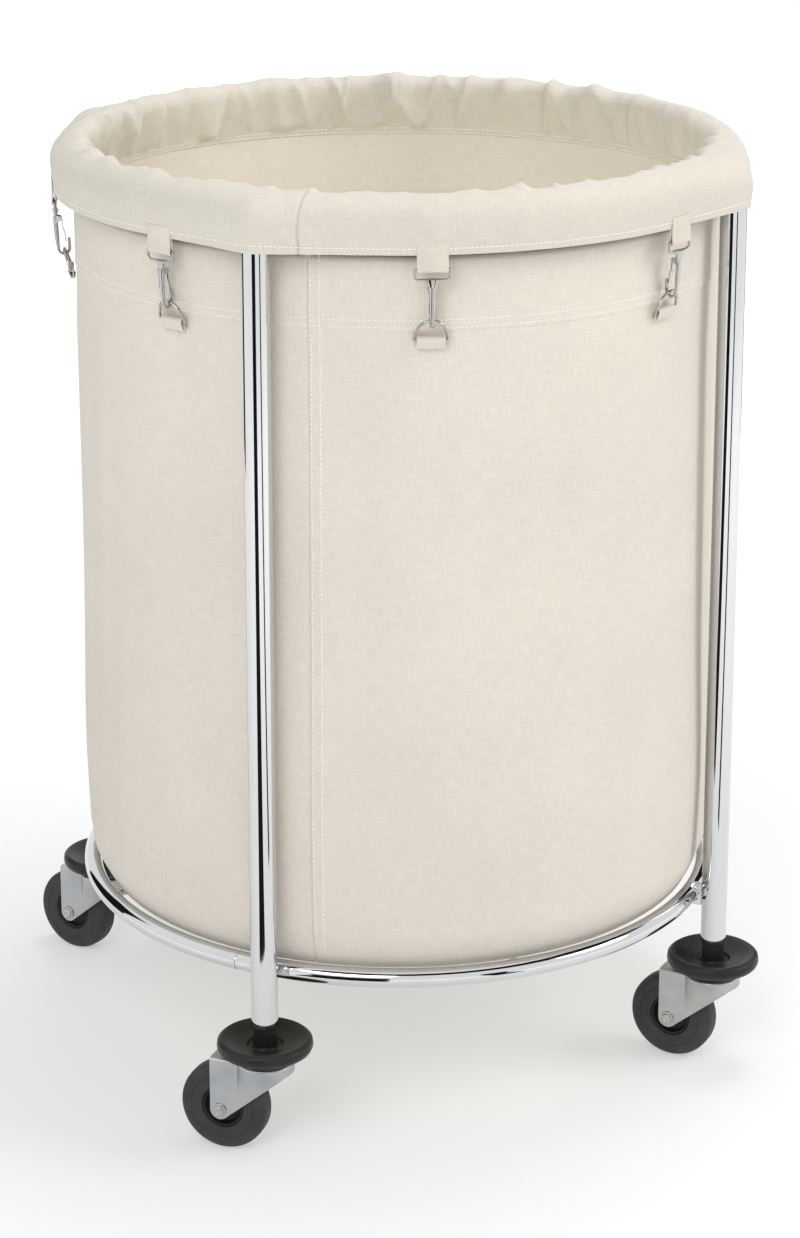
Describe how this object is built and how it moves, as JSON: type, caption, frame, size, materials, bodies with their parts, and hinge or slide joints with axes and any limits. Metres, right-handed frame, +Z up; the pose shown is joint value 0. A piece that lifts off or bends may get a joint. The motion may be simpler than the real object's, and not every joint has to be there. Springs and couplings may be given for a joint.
{
  "type": "laundry cart",
  "caption": "Round rolling laundry cart: chrome tube posts and ring hoops carry a canvas liner clipped on with spring snaps, on swivel casters under rubber bumpers.",
  "frame": {"origin": "on the floor, under the common centre of the two rings", "axes": "+Z up; the front is -Y, with the first snap 18 degrees to its left; +X to the right seen from the front; the posts stand at 45, 135, 225 and 315 degrees"},
  "size_m": [0.588, 0.588, 0.8108],
  "materials": {
    "chrome_tube": "mirror chrome plate",
    "bumper_rubber": "satin moulded rubber",
    "caster_plate": "bright zinc plate over pressed steel",
    "tyre_rubber": "matt grey rubber",
    "hub_plastic": "matt moulded plastic",
    "canvas": "natural woven canvas",
    "snap_metal": "bright nickel plate"
  },
  "bodies": {
    "frame": {"top_ring": "chrome_tube", "bottom_ring": "chrome_tube", "base_rod_lower": "chrome_tube", "base_rod_upper": "chrome_tube", "post_front_left": "chrome_tube", "bumper_front_left": "bumper_rubber", "caster_stem_front_left": "caster_plate", "post_front_right": "chrome_tube", "bumper_front_right": "bumper_rubber", "caster_stem_front_right": "caster_plate", "post_back_right": "chrome_tube", "bumper_back_right": "bumper_rubber", "caster_stem_back_right": "caster_plate", "post_back_left": "chrome_tube", "bumper_back_left": "bumper_rubber", "caster_stem_back_left": "caster_plate", "liner_wall": "canvas", "liner_floor": "canvas", "liner_cuff": "canvas", "snap_hook_1": "snap_metal", "snap_hook_2": "snap_metal", "snap_hook_3": "snap_metal", "snap_hook_4": "snap_metal", "snap_hook_5": "snap_metal", "snap_hook_6": "snap_metal", "snap_hook_7": "snap_metal", "snap_hook_8": "snap_metal", "dee_ring_1": "snap_metal", "dee_ring_2": "snap_metal", "dee_ring_3": "snap_metal", "dee_ring_4": "snap_metal", "dee_ring_5": "snap_metal", "dee_ring_6": "snap_metal", "dee_ring_7": "snap_metal", "dee_ring_8": "snap_metal"},
    "fork_front_left": {"fork_front_left": "caster_plate", "axle_bolt_front_left": "caster_plate"},
    "wheel_front_left": {"tyre_front_left": "tyre_rubber", "hub_front_left": "hub_plastic"},
    "fork_front_right": {"fork_front_right": "caster_plate", "axle_bolt_front_right": "caster_plate"},
    "wheel_front_right": {"tyre_front_right": "tyre_rubber", "hub_front_right": "hub_plastic"},
    "fork_back_right": {"fork_back_right": "caster_plate", "axle_bolt_back_right": "caster_plate"},
    "wheel_back_right": {"tyre_back_right": "tyre_rubber", "hub_back_right": "hub_plastic"},
    "fork_back_left": {"fork_back_left": "caster_plate", "axle_bolt_back_left": "caster_plate"},
    "wheel_back_left": {"tyre_back_left": "tyre_rubber", "hub_back_left": "hub_plastic"},
    "gate_1": {"snap_gate_1": "snap_metal"},
    "gate_2": {"snap_gate_2": "snap_metal"},
    "gate_3": {"snap_gate_3": "snap_metal"},
    "gate_4": {"snap_gate_4": "snap_metal"},
    "gate_5": {"snap_gate_5": "snap_metal"},
    "gate_6": {"snap_gate_6": "snap_metal"},
    "gate_7": {"snap_gate_7": "snap_metal"},
    "gate_8": {"snap_gate_8": "snap_metal"}
  },
  "joints": [
    {"name": "swivel_front_left", "type": "hinge", "parent": "frame", "child": "fork_front_left", "pos_m": [-0.2093, -0.2093, 0.084], "axis": [0, 0, 1], "continuous": true},
    {"name": "wheel_spin_front_left", "type": "hinge", "parent": "fork_front_left", "child": "wheel_front_left", "pos_m": [-0.23496, -0.18521, 0.0381], "axis": [-0.6845, -0.729, 0], "continuous": true},
    {"name": "swivel_front_right", "type": "hinge", "parent": "frame", "child": "fork_front_right", "pos_m": [0.2093, -0.2093, 0.084], "axis": [0, 0, 1], "continuous": true},
    {"name": "wheel_spin_front_right", "type": "hinge", "parent": "fork_front_right", "child": "wheel_front_right", "pos_m": [0.18725, -0.18187, 0.0381], "axis": [-0.7793, -0.6266, 0], "continuous": true},
    {"name": "swivel_back_right", "type": "hinge", "parent": "frame", "child": "fork_back_right", "pos_m": [0.2093, 0.2093, 0.084], "axis": [0, 0, 1], "continuous": true},
    {"name": "wheel_spin_back_right", "type": "hinge", "parent": "fork_back_right", "child": "wheel_back_right", "pos_m": [0.1863, 0.23595, 0.0381], "axis": [-0.757, -0.6534, 0], "continuous": true},
    {"name": "swivel_back_left", "type": "hinge", "parent": "frame", "child": "fork_back_left", "pos_m": [-0.2093, 0.2093, 0.084], "axis": [0, 0, 1], "continuous": true},
    {"name": "wheel_spin_back_left", "type": "hinge", "parent": "fork_back_left", "child": "wheel_back_left", "pos_m": [-0.22889, 0.23855, 0.0381], "axis": [-0.831, -0.5563, 0], "continuous": true},
    {"name": "gate_hinge_1", "type": "hinge", "parent": "frame", "child": "gate_1", "pos_m": [-0.08886, -0.2735, 0.73951], "axis": [-0.9511, 0.309, 0], "range_deg": [0, 10], "stiffness_Nm_per_rad": 0.02, "springref_deg": -17.19},
    {"name": "gate_hinge_2", "type": "hinge", "parent": "frame", "child": "gate_2", "pos_m": [0.13055, -0.25623, 0.73951], "axis": [-0.891, -0.454, 0], "range_deg": [0, 10], "stiffness_Nm_per_rad": 0.02, "springref_deg": -17.19},
    {"name": "gate_hinge_3", "type": "hinge", "parent": "frame", "child": "gate_3", "pos_m": [0.2735, -0.08886, 0.73951], "axis": [-0.309, -0.9511, 0], "range_deg": [0, 10], "stiffness_Nm_per_rad": 0.02, "springref_deg": -17.19},
    {"name": "gate_hinge_4", "type": "hinge", "parent": "frame", "child": "gate_4", "pos_m": [0.25623, 0.13055, 0.73951], "axis": [0.454, -0.891, 0], "range_deg": [0, 10], "stiffness_Nm_per_rad": 0.02, "springref_deg": -17.19},
    {"name": "gate_hinge_5", "type": "hinge", "parent": "frame", "child": "gate_5", "pos_m": [0.08886, 0.2735, 0.73951], "axis": [0.9511, -0.309, 0], "range_deg": [0, 10], "stiffness_Nm_per_rad": 0.02, "springref_deg": -17.19},
    {"name": "gate_hinge_6", "type": "hinge", "parent": "frame", "child": "gate_6", "pos_m": [-0.13055, 0.25623, 0.73951], "axis": [0.891, 0.454, 0], "range_deg": [0, 10], "stiffness_Nm_per_rad": 0.02, "springref_deg": -17.19},
    {"name": "gate_hinge_7", "type": "hinge", "parent": "frame", "child": "gate_7", "pos_m": [-0.2735, 0.08886, 0.73951], "axis": [0.309, 0.9511, 0], "range_deg": [0, 10], "stiffness_Nm_per_rad": 0.02, "springref_deg": -17.19},
    {"name": "gate_hinge_8", "type": "hinge", "parent": "frame", "child": "gate_8", "pos_m": [-0.25623, -0.13055, 0.73951], "axis": [-0.454, 0.891, 0], "range_deg": [0, 10], "stiffness_Nm_per_rad": 0.02, "springref_deg": -17.19}
  ]
}
